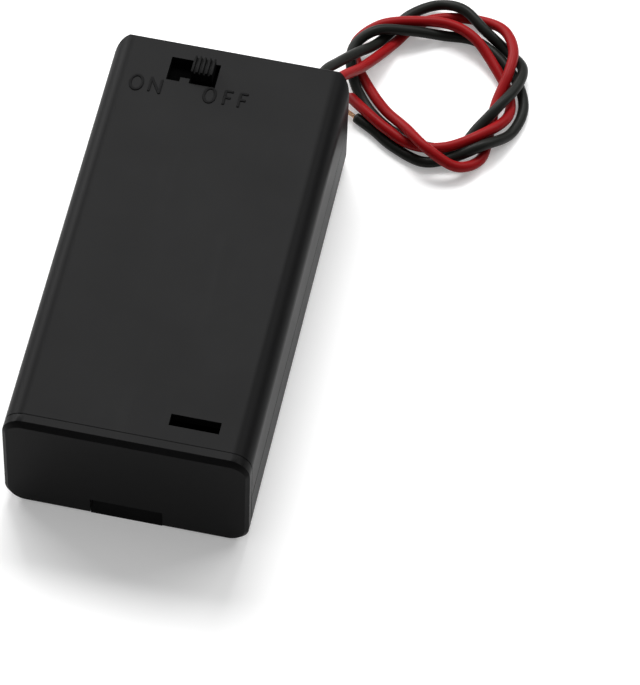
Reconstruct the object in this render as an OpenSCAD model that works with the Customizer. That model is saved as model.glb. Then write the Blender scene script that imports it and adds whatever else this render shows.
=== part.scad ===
// Holder for two AA cells side by side: a moulded case with a slide switch, a
// cover held by one screw, plated contacts, and a red and a black lead.
// Millimetres. X runs across the case, Y along it with the switch at the +Y end,
// Z up. The origin is the middle of the underside, on the surface it stands on.

/* [Case] */
// Height of the case
case_h = 19.3; // [18.8:0.1:22]
// Radius of the four long edges
edge_r = 3; // [2.2:0.1:3.6]
// Radius of the two upright corners at the switch end
corner_r = 2.8; // [1.8:0.1:3.4]
// Bevel round the front face
front_bevel = 0.4; // [0.1:0.1:0.8]
// Rounding of the top edge at the switch end
back_round = 0.6; // [0.2:0.1:1]
// Thickness of the top wall
top_t = 1.5; // [1.2:0.1:1.8]
// Thickness of the front wall
front_t = 1.75; // [1.4:0.05:2]
// Thickness of the inner wall that stands inside the cover
inner_t = 1; // [0.8:0.1:1.1]
// Width of the witness groove behind the front wall
groove_w = 0.18; // [0.1:0.02:0.3]
// Depth of that groove
groove_deep = 0.14; // [0.08:0.02:0.3]

/* [Cover] */
// Thickness of the cover
cover_t = 1.4; // [1.2:0.1:1.5]
// Height of the seam between the case and the cover
seam_z = 9.2; // [8:0.1:9.6]
// Gap between the cover and the walls inside it
cover_gap = 0.2; // [0.1:0.05:0.25]
// Seam gap at the front end
seam_gap_front = 0.3; // [0.1:0.05:0.4]
// Seam gap at the switch end
seam_gap_back = 0.1; // [0.05:0.05:0.3]
// Gap between the cover's front end and the front wall
cover_front_gap = 0.35; // [0.2:0.05:0.5]
// Width of the notch in the front wall
notch_w = 10.4; // [8:0.2:14]
// Height of that notch
notch_h = 3.5; // [3:0.1:5]
// How far the tongue in the notch stays behind the front face
tongue_set = 0.6; // [0.3:0.1:1]
// Gap round the tongue
tongue_gap = 0.15; // [0.1:0.05:0.3]

/* [Cell bays] */
// Diameter of a cell
cell_d = 14.5; // [13:0.1:16]
// Length of a cell
cell_l = 50.5; // [44:0.5:60]
// Gap between the two cells
cell_gap = 0.4; // [0.3:0.05:2]
// Play round a cell in its cradle
cell_play = 0.25; // [0.1:0.05:0.35]
// Room for the plates and the pressed spring at the ends of a cell
spring_room = 6; // [5.5:0.1:7]
// Thickness of the partition behind the bays
partition_t = 1.2; // [1:0.1:1.4]
// Number of cradle ribs along the bays
ribs = 3; // [2:1:4]
// Thickness of a cradle rib
rib_t = 1; // [0.8:0.1:1.4]
// How far a cradle rib reaches past the cell's crown
rib_reach = 5.2; // [4:0.1:6]
// Length of the slot in the top wall, over the right-hand bay
vent_w = 7.1; // [5:0.1:9]
// Width of that slot
vent_d = 1.9; // [1.4:0.1:2.4]
// Distance of that slot from the front face
vent_front = 4.45; // [3:0.05:6]
// Distance of that slot's middle from the right side of the case
vent_side = 8.85; // [6:0.05:10]

/* [Switch] */
// Length of the compartment that holds the switch
room_l = 7.95; // [7.9:0.05:12]
// Distance of the switch opening's middle from the left side of the case
opening_side = 12.45; // [12.1:0.05:13]
// Length of the switch opening
opening_w = 7.25; // [7:0.05:7.6]
// Width of the switch opening
opening_d = 4.2; // [4.1:0.05:4.4]
// Distance of the opening from the switch end of the case
opening_back = 3; // [2.9:0.05:3.2]
// Width of the tab that points into the opening
tab_w = 1.4; // [1:0.1:2]
// Length of that tab
tab_l = 0.8; // [0.4:0.05:0.9]
// How far that tab's middle lies towards ON from the middle of the opening
tab_shift = 0.95; // [0:0.05:1.5]
// Width of the knob, along its travel
knob_w = 3.15; // [2.8:0.05:3.4]
// Depth of the knob
knob_d = 3; // [2.6:0.05:3.05]
// Height of the knob above the top face
knob_h = 1.6; // [1.2:0.1:2.4]
// Number of ridges on the knob
ridges = 5; // [4:1:6]
// Depth of the grooves between the ridges
ridge_deep = 0.45; // [0.2:0.05:0.7]
// Travel of the knob from OFF to ON
travel = 2.8; // [2.4:0.1:3]
// Running gap round the slider
slide_gap = 0.1; // [0.05:0.01:0.15]
// Thickness of the slider's plate
slider_t = 1.2; // [1:0.1:1.4]
// Thickness of the insulating base under the slider
base_t = 1.5; // [1.2:0.1:1.8]
// Thickness of the switch's sheet contacts
strip_t = 0.3; // [0.2:0.05:0.4]
// Width of the wiper
wiper_w = 2.6; // [2:0.1:3]
// Distance between the wiper's two contact points
wiper_span = 5.2; // [4.8:0.1:5.4]

/* [Contacts] */
// Thickness of the plated contact plates
plate_t = 0.4; // [0.3:0.05:0.5]
// Width of a contact plate
plate_w = 10; // [9:0.1:11]
// Height of a contact plate
plate_h = 10.4; // [9:0.1:11]
// Diameter of the spring wire
wire_d = 0.8; // [0.6:0.05:0.9]
// Diameter of a spring at its foot
spring_foot_d = 9; // [8:0.1:9.4]
// Diameter of a spring at its tip
spring_tip_d = 5.4; // [4.5:0.1:6]
// Free length of a spring
spring_l = 8; // [6.5:0.1:9]
// Number of turns in a spring
spring_turns = 4.5; // [3.5:0.5:5]
// Width of a solder tail
tail_w = 2.4; // [2:0.1:2.8]

/* [Screw] */
// Diameter of the screw's thread
screw_d = 1.9; // [1.7:0.1:2.2]
// Length of the screw under its head
screw_l = 7; // [5:0.5:9]
// Diameter of the screw head
head_d = 3.9; // [3.4:0.1:4.1]
// Height of the screw head
head_h = 1.25; // [1:0.05:1.3]
// Diameter of the boss that takes the screw
boss_d = 4.6; // [4.2:0.1:4.8]
// Gap between the boss and the switch's base
boss_side_gap = 1.3; // [0.6:0.1:1.6]
// Running gap between the screw and its hole
screw_gap = 0.05; // [0.03:0.01:0.1]

/* [Leads] */
// Distance of the leads' way out from the right side of the case
exit_side = 4.9; // [4:0.1:6]
// Diameter of a lead over its insulation
lead_d = 1.6; // [1.4:0.05:1.7]
// Diameter of the bare strands at a lead's end
strand_d = 0.7; // [0.5:0.05:0.9]
// Diameter of the short wire inside
link_d = 1.3; // [1.1:0.05:1.5]
// Radius of a solder joint
solder_r = 1; // [0.8:0.05:1.1]

/* [Hidden] */
$fn = 48;
// Sides of a swept wire, and points in one turn of a spring
tube_sides = 8;
turn_points = 12;
// Overshoot of a cut past the face it opens
cut = 1;
// Least radius of an inner corner
least_r = 0.3;

// How far the walls inside the cover stand in from the outside
inset = cover_t + cover_gap;
// The two bays together, and the case round them and the switch
bays_w = 2 * (cell_d + cell_gap);
bay_l = cell_l + spring_room;
case_w = bays_w + 2 * (inset + inner_t);
case_l = front_t + bay_l + partition_t + room_l + inner_t + inset;
// The ends of the case
front_y = -case_l / 2;
back_y = case_l / 2;
// Under the top wall
ceiling_z = case_h - top_t;
bay_y0 = front_y + front_t;
bay_y1 = bay_y0 + bay_l;
cell_x = bays_w / 4;
cell_z = (ceiling_z + cover_t) / 2;
cradle_r = cell_d / 2 + cell_play;
// The compartment behind the partition
room_y0 = bay_y1 + partition_t;
room_y1 = room_y0 + room_l;
// The cradle ribs stand evenly along the bays
rib_pitch = bay_l / (ribs + 1);
rib_top_z = cell_z + cell_d / 2 - rib_reach;
cover_rib_z = cell_z - cell_d / 2 + rib_reach / 2;
cover_rib_gap = 0.6;

// The slot in the top wall
vent_x = case_w / 2 - vent_side;
vent_y0 = front_y + vent_front;

// The switch opening, and the knob at OFF, which is its rest
opening_x = -case_w / 2 + opening_side;
opening_y1 = back_y - opening_back;
opening_y0 = opening_y1 - opening_d;
tab_x = opening_x - tab_shift;
knob_x = opening_x + travel / 2;
knob_y = (opening_y0 + tab_l + opening_y1) / 2;
// The slider's plate covers the opening at both ends of its travel
plate_overlap = 0.2;
slider_l = opening_w + travel + 2 * plate_overlap;
slider_y1 = room_y1 - slide_gap;
slider_y0 = opening_y0 - 2 * plate_overlap;
slider_z1 = ceiling_z - slide_gap;
slider_z0 = slider_z1 - slider_t;
// Two lips under the plate keep the wiper in place
lip_w = 0.8;
lip_d = 2.4;
lip_h = 0.6;
lip_reach = 1.5;
lip_x = wiper_span / 2 + lip_reach;
// The wiper hangs under the plate and stands on the contact strips
wiper_t = 0.25;
wiper_drop = 1.1;
wiper_gap = 0.05;
wiper_foot = 0.4;
wiper_foot_rise = 0.1;
wiper_slope = 1.6;
wiper_end = 1;
wiper_end_z = wiper_t - 0.55 * wiper_drop;
wiper_z1 = slider_z0 - wiper_gap;
strip_z1 = wiper_z1 - wiper_drop - slide_gap / 2;
strip_z0 = strip_z1 - strip_t;
base_z1 = strip_z0;
base_z0 = base_z1 - base_t;
base_stand = 1.15;
base_gap = 0.2;
base_y0 = room_y0 + base_stand;
base_y1 = room_y1 - base_gap;
// The moulded posts that carry the base, clear of the slider's travel
post_d = 2.8;
pin_d = 1.8;
post_gap = 0.15;
post_reach = slider_l / 2 + travel / 2 + post_gap + post_d / 2;
post_y = (base_y0 + base_y1) / 2;
base_l = 2 * post_reach + post_d - 2 * post_gap;
base_hole_gap = 0.1;
stake_d = 2.6;
stake_h = 0.5;
// The two contact strips that the wiper joins at ON
strip_in_x = opening_x - travel / 2 - wiper_span / 2;
strip_out_x = opening_x - travel / 2 + wiper_span / 2;
strip_w = 2.1;
strip_end_gap = 0.9;
strip_back_y = base_y1 - strip_end_gap;
strip_leg_l = 5;
strip_gap = 0.02;
leg_w = 1.7;

// The contact plates, their grooves and their tails
plate_gap = 0.05;
plate_z0 = cell_z - plate_h / 2;
groove_t = 1.1;
groove_lip = 0.55;
groove_bite = 0.3;
jumper_band_h = 4;
nub_d = 5;
nub_top_d = 3.4;
nub_h = 0.8;
tail_l = 4.2;
tail_gap = 0.2;
negative_tail_shift = 3.7;
negative_tail_x = cell_x + negative_tail_shift;
positive_tail_x = -cell_x;
tail_y1 = bay_y1 - plate_gap + tail_l;

// The screw, up through the cover into the boss
boss_stand = 3.4;
boss_x = opening_x + base_l / 2 + boss_side_gap + boss_d / 2;
boss_y = room_y1 - boss_stand;
pad_d = 2 * (room_y1 - boss_y - cover_gap);
pad_z1 = 3;
pad_hole_gap = 0.2;
head_sink = 0.2;
seat_z = head_h + head_sink;
head_gap = 0.25;
head_edge = 0.3;
point_l = 1;
point_d = 0.6;
boss_gap = 0.1;
boss_z0 = pad_z1 + boss_gap;
web_rise = 2;
slot_w = 0.6;
slot_l = 2.2;
slot_deep = 0.7;

// The way out for the two leads, at the seam
exit_gap = 0.2;
exit_bite = 0.01;
lead_spread = 0.1;
exit_w = 2 * (lead_d + exit_gap);
exit_h = lead_d + 2 * exit_gap;
exit_x = case_w / 2 - exit_side;
exit_run = 2.5;
exit_z = seam_z + exit_h / 2;
exit_y = back_y;
black_x = exit_x - (lead_d + lead_spread) / 2;
red_x = exit_x + (lead_d + lead_spread) / 2;

// The solder joints: on the plates' tails, and on the legs of the switch contacts
joint_gap = 0.1;
tail_joint_y = tail_y1 - solder_r - joint_gap;
tail_joint_z = plate_z0 + plate_t;
leg_joint_y = base_y0 - strip_gap;
leg_joint_z = strip_z1 - strip_leg_l + solder_r;
// The bezier handles of the short wire between the two
link_start = [0, 0.6, 3];
link_end = [0, 2.2, -0.8];
link_steps = 7;

// The red lead, from the switch through the case, then twice round the loop
red_route = [
    [strip_out_x, leg_joint_y + solder_r + joint_gap, leg_joint_z],
    [-3.5, 28.25, 11.5], [-1, 29, 11.9], [3, 26.75, 12.2], [10.5, 25.75, 12.2], [13, 28.5, 11.3],
    [red_x, exit_y - exit_run, exit_z], [red_x, exit_y + exit_run, exit_z],
    [14.5, 42, 8.5], [16.5, 47, 5], [18.55, 51.95, 2.6], [20.35, 56.2, 1.1], [22.5, 60, 0.9],
    [26.25, 62.4, 0.85], [31.1, 63.1, 0.95], [35.65, 61.15, 2.35], [38, 57.05, 3.1],
    [38.1, 52.5, 3.05], [37.2, 47.55, 1.6], [37.15, 42.8, 0.85], [36.8, 37.35, 1],
    [33.6, 34.4, 2.15], [29, 35.25, 4.15], [25.25, 38.55, 3.65], [21.3, 42.8, 1.55],
    [17.85, 47.1, 0.9], [15.3, 51.05, 0.85], [14.5, 54.75, 1.25], [17.75, 57.8, 2.6],
    [23, 59.55, 2.7], [27.75, 60, 2.7], [31.75, 58.45, 2.5], [35.45, 54.95, 1.4],
    [38.65, 50.35, 0.85], [39.35, 45.2, 1.95], [36.3, 40.55, 2.9], [31.45, 37.35, 2.45],
    [26.6, 36.85, 2.2], [22.25, 38.75, 2.4], [18.5, 41.5, 2.2], [15.7, 44.2, 1.35]];

// The black lead, from the rear contact beside it, round the same loop
black_route = [
    [negative_tail_x, tail_joint_y, tail_joint_z + solder_r + joint_gap],
    [11, 26.75, 8], [11.25, 29, 9.6],
    [black_x, exit_y - exit_run, exit_z], [black_x, exit_y + exit_run, exit_z],
    [12, 42, 9.2], [13.5, 46, 7], [15.5, 50, 4.8], [17.5, 53.95, 2.35], [19.2, 58, 0.95],
    [21.25, 61.75, 0.95], [25, 64.3, 1.3], [29.2, 63.25, 2.75], [33.15, 60.35, 2.25],
    [37, 58.25, 0.85], [39.85, 54.8, 2.05], [39.8, 50.55, 3], [37.9, 46.05, 3.3],
    [35.5, 42.35, 2.1], [33.25, 39, 0.9], [28.75, 38, 0.85], [24, 39.25, 0.85], [19.75, 42, 0.85],
    [16.45, 46, 1], [14.65, 49.7, 2.2], [14.65, 53.05, 2.8], [17.4, 55.85, 3.5], [22, 57.45, 2.7],
    [27, 59, 1], [31.75, 59.25, 0.85], [35.75, 56.95, 0.85], [39.5, 52.85, 0.85],
    [41.3, 48.05, 0.85], [40.25, 42.95, 1], [36.85, 38.55, 2.9], [32.5, 36.3, 1.4],
    [28.45, 35.15, 0.85], [23.7, 36.9, 0.85], [20.25, 39.25, 0.85], [17.25, 41, 0.85]];
// The bare strands start just off the end of the insulation
strand_l = 3;
strand_gap = 0.06;

// ---- Shapes that several pieces use ----

// Extrudes a flat shape, drawn in X and Z, from y0 to y1
module along_y(y0, y1) {
    translate([0, y1, 0]) rotate([90, 0, 0]) linear_extrude(height = y1 - y0) children();
}

// A rectangle with round corners, centred on x, standing on y = 0
module round_rect(w, h, r) {
    translate([-w / 2 + r, 0]) square([w - 2 * r, h]);
    translate([-w / 2, r]) square([w, h - 2 * r]);
    for (sx = [-1, 1], y = [r, h - r]) translate([sx * (w / 2 - r), y]) circle(r = r);
}

// The case's cross-section, moved in by d all round
module section(d = 0) {
    translate([0, d]) round_rect(case_w - 2 * d, case_h - 2 * d, edge_r - d);
}

// The case seen from above, moved in by d at the sides and the switch end
module plan(d = 0) {
    w = case_w - 2 * d;
    r = max(corner_r - d, least_r);
    y1 = back_y - d;
    translate([-w / 2, front_y - cut]) square([w, y1 - r - front_y + cut]);
    translate([-w / 2 + r, y1 - 2 * r]) square([w - 2 * r, 2 * r]);
    for (sx = [-1, 1]) translate([sx * (w / 2 - r), y1 - r]) circle(r = r);
}

// The case seen from the side, with its small rounding over the switch end
module side_view() {
    r = back_round;
    translate([front_y - cut, -cut]) square([case_l + cut, case_h - r + cut]);
    translate([front_y - cut, 0]) square([case_l - r + cut, case_h]);
    translate([back_y - r, case_h - r]) circle(r = r);
}

// The bevelled slice at the front: four cones and the flats between them
module front_slice() {
    b = front_bevel;
    r = edge_r;
    for (sx = [-1, 1], z = [r, case_h - r])
        translate([sx * (case_w / 2 - r), front_y, z])
            rotate([-90, 0, 0]) cylinder(h = b, r1 = r - b, r2 = r);
    translate([-case_w / 2 + r, 0, 0]) rotate([90, 0, 90]) linear_extrude(height = case_w - 2 * r)
        polygon([[front_y, b], [front_y + b, 0], [front_y + b, case_h], [front_y, case_h - b]]);
    translate([0, 0, r]) linear_extrude(height = case_h - 2 * r)
        polygon([[-case_w / 2 + b, front_y], [case_w / 2 - b, front_y],
                 [case_w / 2, front_y + b], [-case_w / 2, front_y + b]]);
}

// The whole outside of the closed case
module envelope() {
    intersection() {
        union() {
            front_slice();
            along_y(front_y + front_bevel, back_y) section();
        }
        linear_extrude(height = case_h) plan();
        translate([-case_w / 2 - cut, 0, 0]) rotate([90, 0, 90])
            linear_extrude(height = case_w + 2 * cut) side_view();
    }
}

// A slab across the whole case between two heights and two stations
module slab(y0, y1, z0, z1) {
    translate([-case_w, y0, z0]) cube([2 * case_w, y1 - y0, z1 - z0]);
}

// A box from its lowest to its highest corner
module span(a, b) {
    translate(a) cube(b - a);
}

// The two cells' cradles as cylinders, to cut ribs with
module cradles(y0, y1) {
    for (sx = [-1, 1]) translate([sx * cell_x, y1, cell_z])
        rotate([90, 0, 0]) cylinder(h = y1 - y0, r = cradle_r);
}

// ---- Case ----

// The walls that stand inside the cover, as one solid block
module inner_block() {
    intersection() {
        along_y(front_y + front_t / 2, back_y - inset) section(inset);
        linear_extrude(height = case_h) plan(inset);
        slab(front_y, back_y, 0, seam_z + cut);
    }
}

// The shallow groove round the outside, just behind the front wall
module witness_groove() {
    difference() {
        slab(bay_y0, bay_y0 + groove_w, seam_z, case_h + cut);
        along_y(bay_y0 - cut, bay_y0 + groove_w + cut) section(groove_deep);
    }
}

// The opening over the slider, with the small tab that points into it
module switch_opening() {
    difference() {
        span([opening_x - opening_w / 2, opening_y0, ceiling_z - cut],
             [opening_x + opening_w / 2, opening_y1, case_h + cut]);
        span([tab_x - tab_w / 2, opening_y0 - cut, ceiling_z - 2 * cut],
             [tab_x + tab_w / 2, opening_y0 + tab_l, case_h + 2 * cut]);
    }
}

// A cradle rib on the ceiling, cut to the cells' curve
module case_rib(y) {
    difference() {
        span([-bays_w / 2 - inner_t / 2, y - rib_t / 2, rib_top_z],
             [bays_w / 2 + inner_t / 2, y + rib_t / 2, ceiling_z + top_t / 2]);
        cradles(y - rib_t, y + rib_t);
    }
}

// One groove rib that holds a plate's edge; side is -1 or 1, facing is the
// direction in Y from the wall into the bay
module plate_groove(x, wall_y, side, facing) {
    lip_y = wall_y + facing * (plate_t + 2 * plate_gap);
    end_y = lip_y + facing * groove_lip;
    x0 = x - side * groove_lip;
    x1 = x + side * groove_t;
    xs = x + side * 2 * plate_gap;
    z1 = ceiling_z + top_t / 2;
    span([min(x0, x1), min(lip_y, end_y), plate_z0], [max(x0, x1), max(lip_y, end_y), z1]);
    span([min(xs, x1), min(wall_y - facing * groove_bite, end_y), plate_z0],
         [max(xs, x1), max(wall_y - facing * groove_bite, end_y), z1]);
}

// The notch under the partition that lets a solder tail through
module tail_notch(x) {
    span([x - tail_w / 2 - tail_gap, bay_y1 - cut / 2, 0],
         [x + tail_w / 2 + tail_gap, room_y0 + cut / 2, plate_z0 + plate_t + tail_gap]);
}

// A post that carries the switch's base, with its pin melted over below
module base_post(x) {
    translate([x, post_y, base_z1]) cylinder(h = case_h - top_t / 2 - base_z1, d = post_d);
    translate([x, post_y, base_z0 - stake_h]) cylinder(h = base_t + stake_h + cut, d = pin_d);
    translate([x, post_y, base_z0 - stake_h]) cylinder(h = stake_h, d = stake_d);
}

module case_body() {
    color([0.09, 0.09, 0.095])
    difference() {
        union() {
            difference() {
                union() {
                    intersection() {
                        envelope();
                        slab(front_y - cut, back_y + cut, seam_z, case_h + cut);
                    }
                    intersection() {
                        envelope();
                        slab(front_y - cut, bay_y0, -cut, case_h);
                    }
                    inner_block();
                }
                span([-bays_w / 2, bay_y0, -cut], [bays_w / 2, bay_y1, ceiling_z]);
                span([-bays_w / 2, room_y0, -cut], [bays_w / 2, room_y1, ceiling_z]);
            }
            for (i = [1 : ribs]) case_rib(bay_y0 + i * rib_pitch);
            for (sx = [-1, 1]) {
                plate_groove(sx * (cell_x + plate_w / 2), bay_y0, sx, 1);
                plate_groove(sx * (cell_x + plate_w / 2), bay_y1, sx, -1);
                plate_groove(sx * (cell_x - plate_w / 2), bay_y1, -sx, -1);
                base_post(opening_x + sx * post_reach);
            }
            span([opening_x - opening_w / 2 - travel, slider_y0 - slide_gap - rib_t, slider_z0],
                 [opening_x + opening_w / 2 + travel, slider_y0 - slide_gap, ceiling_z + top_t / 2]);
            translate([boss_x, boss_y, boss_z0])
                cylinder(h = case_h - top_t / 2 - boss_z0, d = boss_d);
            span([boss_x - rib_t / 2, boss_y, boss_z0 + web_rise],
                 [boss_x + rib_t / 2, room_y1 + inner_t / 2, ceiling_z + top_t / 2]);
        }
        span([-notch_w / 2, front_y - cut, -cut], [notch_w / 2, bay_y0 + cut, notch_h]);
        span([vent_x - vent_w / 2, vent_y0, ceiling_z - cut],
             [vent_x + vent_w / 2, vent_y0 + vent_d, case_h + cut]);
        switch_opening();
        witness_groove();
        tail_notch(positive_tail_x);
        tail_notch(negative_tail_x);
        span([exit_x - exit_w / 2, room_y1 - cut, seam_z - exit_bite],
             [exit_x + exit_w / 2, back_y + cut, seam_z + exit_h]);
        translate([boss_x, boss_y, boss_z0 - cut])
            cylinder(h = screw_l + cut, d = screw_d + 2 * screw_gap);
    }
}

// ---- Cover ----

// The cover seen from the side: its rim falls slightly towards the front
module cover_side() {
    polygon([[front_y + front_t + cover_front_gap, -cut], [back_y + cut, -cut],
             [back_y + cut, seam_z - seam_gap_back],
             [front_y + front_t + cover_front_gap, seam_z - seam_gap_front]]);
}

// A low rib across the cover, cut to the cells' curve
module cover_rib(y) {
    difference() {
        span([-bays_w / 2 + cover_rib_gap, y - rib_t / 2, cover_t / 2],
             [bays_w / 2 - cover_rib_gap, y + rib_t / 2, cover_rib_z]);
        cradles(y - rib_t, y + rib_t);
    }
}

module cover() {
    tongue_w = notch_w - 2 * tongue_gap;
    color([0.1, 0.1, 0.105])
    difference() {
        union() {
            difference() {
                intersection() {
                    envelope();
                    translate([-case_w, 0, 0]) rotate([90, 0, 90])
                        linear_extrude(height = 2 * case_w) cover_side();
                }
                intersection() {
                    along_y(front_y - cut, back_y - cover_t) section(cover_t);
                    linear_extrude(height = case_h) plan(cover_t);
                }
            }
            for (i = [1 : ribs]) cover_rib(bay_y0 + i * rib_pitch);
            span([-tongue_w / 2, front_y + tongue_set, 0],
                 [tongue_w / 2, bay_y0 + cover_front_gap + cover_t, cover_t]);
            span([-tongue_w / 2, front_y + tongue_set, 0],
                 [tongue_w / 2, bay_y0 - tongue_gap, notch_h - tongue_gap]);
            translate([boss_x, boss_y, cover_t / 2]) cylinder(h = pad_z1 - cover_t / 2, d = pad_d);
        }
        translate([boss_x, boss_y, -cut]) cylinder(h = seat_z + cut, d = head_d + 2 * head_gap);
        translate([boss_x, boss_y, 0]) cylinder(h = pad_z1 + cut, d = screw_d + 2 * pad_hole_gap);
    }
}

module cover_screw() {
    color("silver") translate([boss_x, boss_y, seat_z])
    difference() {
        union() {
            cylinder(h = screw_l - point_l, d = screw_d);
            translate([0, 0, screw_l - point_l]) cylinder(h = point_l, d1 = screw_d, d2 = point_d);
            translate([0, 0, -head_h]) cylinder(h = head_edge, d1 = head_d - 2 * head_edge, d2 = head_d);
            translate([0, 0, -head_h + head_edge]) cylinder(h = head_h - head_edge, d = head_d);
        }
        for (a = [0, 90]) rotate([0, 0, a])
            translate([-slot_l / 2, -slot_w / 2, -head_h - cut]) cube([slot_l, slot_w, slot_deep + cut]);
    }
}

// ---- Switch ----

module switch_slider() {
    ridge_w = knob_w / (2 * ridges - 1);
    top_z = case_h + knob_h;
    color([0.07, 0.07, 0.075])
    difference() {
        union() {
            span([knob_x - slider_l / 2, slider_y0, slider_z0],
                 [knob_x + slider_l / 2, slider_y1, slider_z1]);
            span([knob_x - knob_w / 2, knob_y - knob_d / 2, slider_z1 - slider_t / 2],
                 [knob_x + knob_w / 2, knob_y + knob_d / 2, top_z]);
            for (sx = [-1, 1]) translate([knob_x + sx * lip_x, knob_y, slider_z0 - lip_h])
                translate([-lip_w / 2, -lip_d / 2, 0]) cube([lip_w, lip_d, lip_h + slider_t / 2]);
        }
        for (i = [1 : ridges - 1]) translate([knob_x - knob_w / 2 + (2 * i - 1) * ridge_w, 0, 0])
            span([0, knob_y - knob_d, top_z - ridge_deep], [ridge_w, knob_y + knob_d, top_z + cut]);
    }
}

// The bridge: a sheet strip with two feet, drawn from the side
module switch_wiper() {
    s = wiper_span / 2;
    foot_z = wiper_t - wiper_drop;
    side_z = foot_z + wiper_foot_rise;
    half = [[s - wiper_slope, 0], [s - wiper_foot, side_z], [s, foot_z], [s + wiper_foot, side_z],
            [s + wiper_end, wiper_end_z]];
    n = len(half);
    upper = concat([for (i = [n - 1 : -1 : 0]) [-half[i][0], half[i][1]]], half);
    color("goldenrod") translate([knob_x, knob_y + wiper_w / 2, wiper_z1]) rotate([90, 0, 0])
        linear_extrude(height = wiper_w)
            polygon(concat(upper, [for (i = [2 * n - 1 : -1 : 0]) upper[i] - [0, wiper_t]]));
}

module switch_base() {
    color("saddlebrown") difference() {
        span([opening_x - base_l / 2, base_y0, base_z0], [opening_x + base_l / 2, base_y1, base_z1]);
        for (sx = [-1, 1]) translate([opening_x + sx * post_reach, post_y, base_z0 - cut])
            cylinder(h = base_t + 2 * cut, d = pin_d + 2 * base_hole_gap);
    }
}

// A sheet contact: flat on the base, folded down over its edge to a tail
module switch_contact(x) {
    span([x - strip_w / 2, base_y0 - strip_t, strip_z0], [x + strip_w / 2, strip_back_y, strip_z1]);
    span([x - leg_w / 2, base_y0 - strip_t - strip_gap, strip_z1 - strip_leg_l],
         [x + leg_w / 2, base_y0 - strip_gap, strip_z1]);
}

module switch_contact_in() { color("gold") switch_contact(strip_in_x); }

module switch_contact_out() { color("gold") switch_contact(strip_out_x); }

// ---- Cell contacts ----

// One plate standing between y and y + plate_t
module contact_pad(x, y) {
    span([x - plate_w / 2, y, plate_z0], [x + plate_w / 2, y + plate_t, plate_z0 + plate_h]);
}

// The pressed nub that meets a cell's positive end
module nub(x, y, facing) {
    translate([x, y, cell_z]) rotate([-90 * facing, 0, 0]) cylinder(h = nub_h, d1 = nub_d, d2 = nub_top_d);
}

// A tail folded from a plate's lower edge, through the partition
module solder_tail(x) {
    span([x - tail_w / 2, bay_y1 - plate_gap - plate_t, plate_z0],
         [x + tail_w / 2, tail_y1, plate_z0 + plate_t]);
}

module front_jumper() {
    y = bay_y0 + plate_gap;
    color("lightgray") {
        for (sx = [-1, 1]) contact_pad(sx * cell_x, y);
        span([-cell_x, y, cell_z - jumper_band_h / 2], [cell_x, y + plate_t, cell_z + jumper_band_h / 2]);
        nub(cell_x, y + plate_t / 2, 1);
    }
}

module positive_plate() {
    color("lightgray") {
        contact_pad(-cell_x, bay_y1 - plate_gap - plate_t);
        nub(-cell_x, bay_y1 - plate_gap - plate_t / 2, -1);
        solder_tail(positive_tail_x);
    }
}

module negative_plate() {
    color("lightgray") {
        contact_pad(cell_x, bay_y1 - plate_gap - plate_t);
        solder_tail(negative_tail_x);
    }
}

// ---- Wires and springs: a round tube swept through points ----

function unit(v) = v / norm(v);

// The direction of travel at point i
function heading(p, i) = unit(p[min(i + 1, len(p) - 1)] - p[max(i - 1, 0)]);

// A side direction square to the heading, kept near the horizontal
function sideways(t) = unit(cross(t, abs(t[2]) < 0.9 ? [0, 0, 1] : [1, 0, 0]));

// One ring of points round the route
function ring(c, t, r, n) =
    let (u = sideways(t), v = cross(u, t))
    [for (k = [0 : n - 1]) c + r * (cos(360 * k / n) * u + sin(360 * k / n) * v)];

module tube(p, d, sides) {
    n = len(p);
    points = [for (i = [0 : n - 1]) each ring(p[i], heading(p, i), d / 2, sides)];
    walls = [for (i = [0 : n - 2], k = [0 : sides - 1])
        let (a = i * sides + k, b = i * sides + (k + 1) % sides)
        [a, b, b + sides, a + sides]];
    polyhedron(points = points,
               faces = concat([[for (k = [sides - 1 : -1 : 0]) k]], walls,
                              [[for (k = [0 : sides - 1]) (n - 1) * sides + k]]));
}

// A conical spring along +Y from y = 0, its end turns lying flat
module spring() {
    steps = turn_points * spring_turns;
    function rise(f) = f * f * (3 - 2 * f);
    route = [for (i = [0 : steps])
        let (f = i / steps, a = 360 * spring_turns * f,
             r = (spring_foot_d + (spring_tip_d - spring_foot_d) * f - wire_d) / 2)
        [r * cos(a), wire_d / 2 + (spring_l - wire_d) * rise(f), r * sin(a)]];
    color("silver") tube(route, wire_d, tube_sides);
}

module front_spring() {
    translate([-cell_x, bay_y0 + 2 * plate_gap + plate_t, cell_z]) spring();
}

module rear_spring() {
    translate([cell_x, bay_y1 - 2 * plate_gap - plate_t, cell_z]) rotate([0, 0, 180]) spring();
}

// The short wire from the positive plate's tail up to the switch, as a bezier
module link_wire() {
    a = [positive_tail_x, tail_joint_y, tail_joint_z + solder_r + joint_gap];
    d = [strip_in_x, leg_joint_y + solder_r + joint_gap, leg_joint_z];
    b = a + link_start;
    c = d + link_end;
    color("firebrick") tube([for (i = [0 : link_steps]) let (t = i / link_steps)
        pow(1 - t, 3) * a + 3 * t * pow(1 - t, 2) * b + 3 * t * t * (1 - t) * c + t * t * t * d],
        link_d, tube_sides);
}

// ---- Solder joints ----

// A dome of solder on a face at p, standing up along Z, or along Y where lying
module solder_dome(p, lying) {
    color("gainsboro") translate(p) rotate([lying ? -90 : 0, 0, 0]) intersection() {
        sphere(r = solder_r);
        translate([-2 * solder_r, -2 * solder_r, 0]) cube(4 * solder_r);
    }
}

module solder_positive() { solder_dome([positive_tail_x, tail_joint_y, tail_joint_z], false); }

module solder_negative() { solder_dome([negative_tail_x, tail_joint_y, tail_joint_z], false); }

module solder_switch_in() { solder_dome([strip_in_x, leg_joint_y, leg_joint_z], true); }

module solder_switch_out() { solder_dome([strip_out_x, leg_joint_y, leg_joint_z], true); }

// ---- Leads ----

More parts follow.
